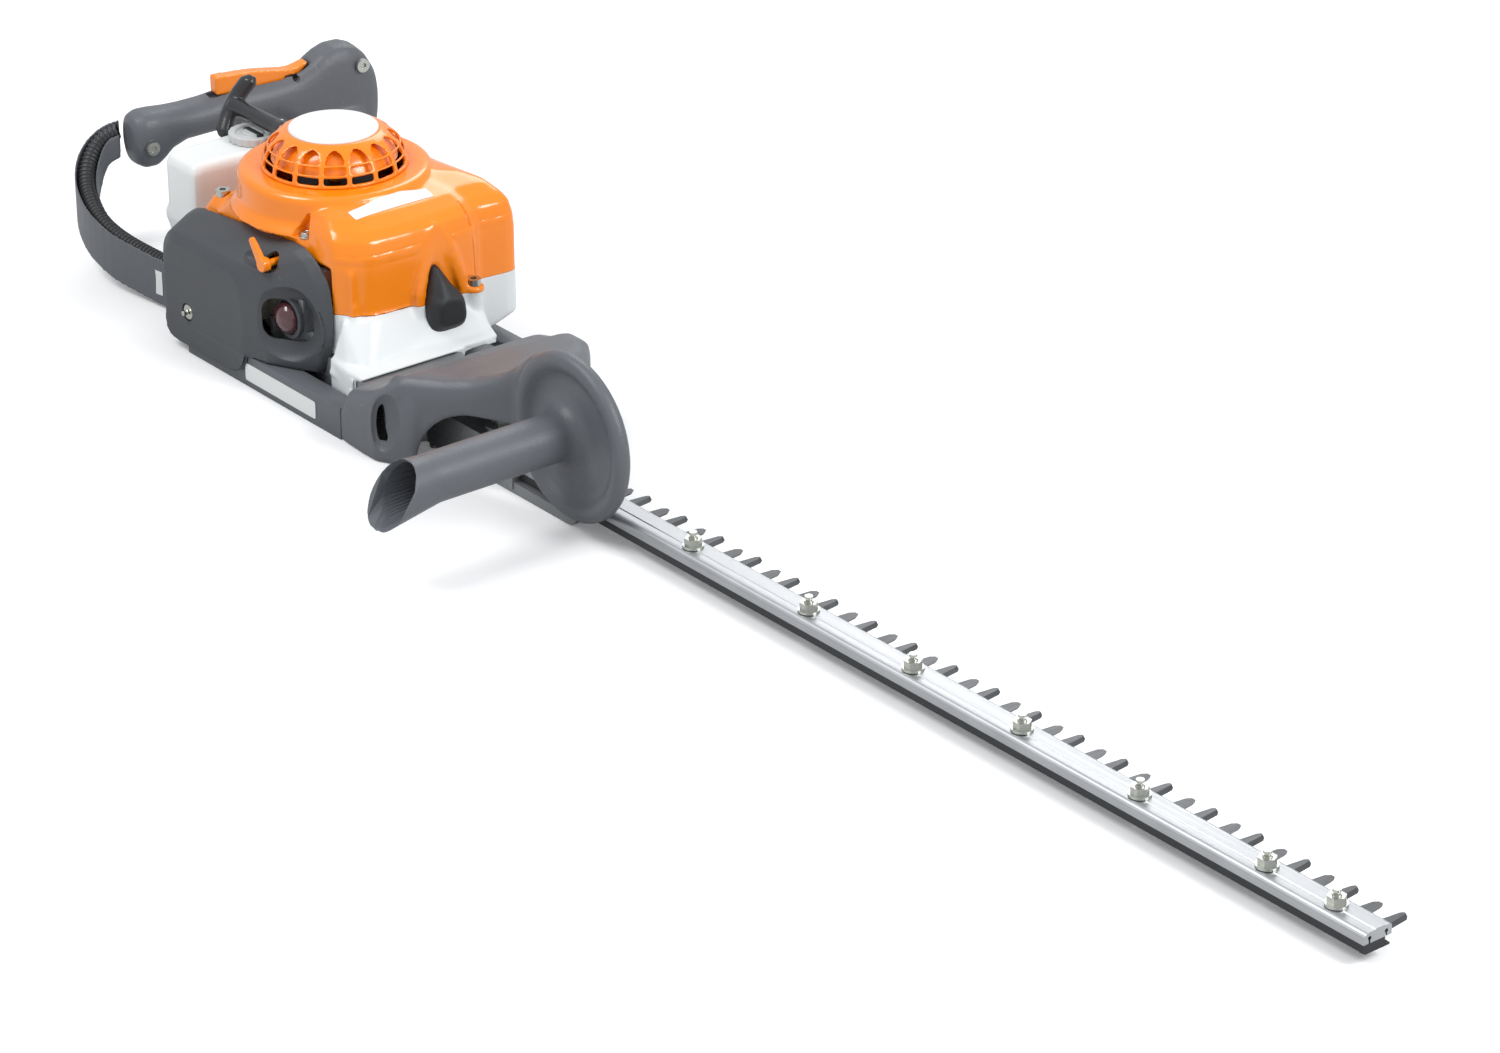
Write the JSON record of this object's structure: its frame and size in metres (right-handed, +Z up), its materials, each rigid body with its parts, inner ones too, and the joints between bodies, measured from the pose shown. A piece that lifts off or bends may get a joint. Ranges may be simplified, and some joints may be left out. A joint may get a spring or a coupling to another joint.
{
  "type": "petrol hedge trimmer",
  "caption": "Petrol hedge trimmer with a single-sided double-reciprocating cutter, tubular front grip, hand-stop disc, looped rear handle and recoil starter.",
  "frame": {"origin": "point on the ground under the engine crank axis, with the tool standing on its frame rails", "axes": "+X along the cutter bar to its tip, +Y to the toothed side, +Z up"},
  "size_m": [1.3088, 0.3792, 0.1672],
  "materials": {
    "orange_plastic": "semi-gloss moulded",
    "white_plastic": "smooth matt",
    "frame_plastic": "fine-grained matt",
    "cover_plastic": "fine-grained matt",
    "black_plastic": "matt",
    "tank_plastic": "translucent milky",
    "disc_plastic": "smooth",
    "bulb_rubber": "translucent dark red",
    "rubber": "matt",
    "ceramic": "glazed",
    "filter_fabric": "pleated",
    "cord": "braided",
    "zinc_steel": "zinc plated",
    "blade_steel": "ground and blued",
    "gear_steel": "machined",
    "bar_aluminium": "brushed extrusion",
    "cast_aluminium": "die cast",
    "guard_plastic": "matt"
  },
  "bodies": {
    "frame": {"guide_bar": "bar_aluminium", "knife_guard": "guard_plastic", "bar_bolts": "zinc_steel", "bar_spacers": "zinc_steel", "bar_nuts": "zinc_steel", "gearcase": "cast_aluminium", "gearcase_cover": "cast_aluminium", "crank_bearing": "gear_steel", "idler_pin": "gear_steel", "drum_bearing": "gear_steel", "clutch_housing": "cast_aluminium", "gearcase_screws": "zinc_steel", "ignition_coil": "black_plastic", "crankcase": "cast_aluminium", "cylinder_block": "cast_aluminium", "spark_plug": "ceramic", "plug_boot": "rubber", "muffler": "zinc_steel", "carburettor": "cast_aluminium", "air_filter": "filter_fabric", "filter_cover": "cover_plastic", "engine_housing": "white_plastic", "shroud": "orange_plastic", "starter_dome": "orange_plastic", "shroud_screws": "zinc_steel", "cap_disc": "disc_plastic", "fuel_tank": "tank_plastic", "near_rail": "frame_plastic", "far_rail": "frame_plastic", "buffers": "rubber", "front_handle": "frame_plastic", "front_grip": "frame_plastic", "rear_bow": "frame_plastic", "cable_hose": "black_plastic", "rear_handle": "frame_plastic", "rear_arm": "frame_plastic", "handle_screws": "zinc_steel"},
    "crank": {"crank_gear": "gear_steel", "eccentric_shaft": "gear_steel"},
    "top_knife": {"upper_knife": "blade_steel"},
    "bottom_knife": {"lower_knife": "blade_steel"},
    "idler": {"idler_gear": "gear_steel"},
    "drum": {"clutch_drum": "gear_steel", "pinion": "gear_steel"},
    "engine": {"crankshaft": "gear_steel", "flywheel": "cast_aluminium", "clutch_shoes": "gear_steel"},
    "starter": {"starter_handle": "black_plastic", "starter_rope": "cord"},
    "rotor": {"rope_rotor": "black_plastic"},
    "choke": {"choke_lever": "orange_plastic"},
    "bulb": {"purge_bulb": "bulb_rubber"},
    "trigger": {"throttle_trigger": "black_plastic"},
    "lockout": {"lockout_lever": "orange_plastic"},
    "cap": {"fuel_cap": "black_plastic"}
  },
  "joints": [
    {"name": "crank_turn", "type": "hinge", "parent": "frame", "child": "crank", "pos_m": [0.12467, -0.029, 0.02], "axis": [0, 0, 1], "range_deg": [-90, 90]},
    {"name": "top_knife_slide", "type": "slide", "parent": "frame", "child": "top_knife", "axis": [1, 0, 0], "range_m": [-0.0096, 0.0096]},
    {"name": "bottom_knife_slide", "type": "slide", "parent": "frame", "child": "bottom_knife", "axis": [1, 0, 0], "range_m": [-0.0096, 0.0096]},
    {"name": "idler_turn", "type": "hinge", "parent": "frame", "child": "idler", "pos_m": [0.05262, -0.01215, 0.027], "axis": [0, 0, 1], "range_deg": [-77, 77]},
    {"name": "drum_turn", "type": "hinge", "parent": "frame", "child": "drum", "pos_m": [0, 0, 0.045], "axis": [0, 0, 1], "range_deg": [-219, 219]},
    {"name": "engine_turn", "type": "hinge", "parent": "frame", "child": "engine", "pos_m": [0, 0, 0.08], "axis": [0, 0, 1], "continuous": true},
    {"name": "starter_pull", "type": "slide", "parent": "frame", "child": "starter", "axis": [-1, 0, 0], "range_m": [0, 0.058], "stiffness_N_per_m": 20, "springref_m": -0.01},
    {"name": "rotor_turn", "type": "hinge", "parent": "frame", "child": "rotor", "pos_m": [0, 0, 0.1235], "axis": [0, 0, 1], "range_deg": [0, 117.5]},
    {"name": "choke_turn", "type": "hinge", "parent": "frame", "child": "choke", "pos_m": [0.0305, -0.078, 0.0955], "axis": [0, 1, 0], "range_deg": [0, 35]},
    {"name": "bulb_press", "type": "slide", "parent": "frame", "child": "bulb", "axis": [0, 1, 0], "range_m": [0, 0.0035], "stiffness_N_per_m": 1500},
    {"name": "trigger_squeeze", "type": "hinge", "parent": "frame", "child": "trigger", "pos_m": [-0.22972, 0.11527, 0.086], "axis": [-0.994, 0.1097, 0], "range_deg": [0, 7], "stiffness_Nm_per_rad": 1.5, "springref_deg": -2.86},
    {"name": "lockout_press", "type": "hinge", "parent": "frame", "child": "lockout", "pos_m": [-0.22939, 0.11825, 0.106], "axis": [0.994, -0.1097, 0], "range_deg": [0, 4], "stiffness_Nm_per_rad": 1.5, "springref_deg": -2.86},
    {"name": "cap_turn", "type": "hinge", "parent": "frame", "child": "cap", "pos_m": [-0.134, 0.022, 0.11], "axis": [0, 0, 1], "range_deg": [0, 120]}
  ],
  "couplings": [
    {"joint": "top_knife_slide", "follows": "crank_turn", "m_per_rad": -0.0060479},
    {"joint": "bottom_knife_slide", "follows": "crank_turn", "m_per_rad": 0.0060479},
    {"joint": "idler_turn", "follows": "crank_turn", "ratio": -0.85},
    {"joint": "drum_turn", "follows": "crank_turn", "ratio": 2.4286},
    {"joint": "rotor_turn", "follows": "starter_pull", "rad_per_m": 35.088}
  ]
}
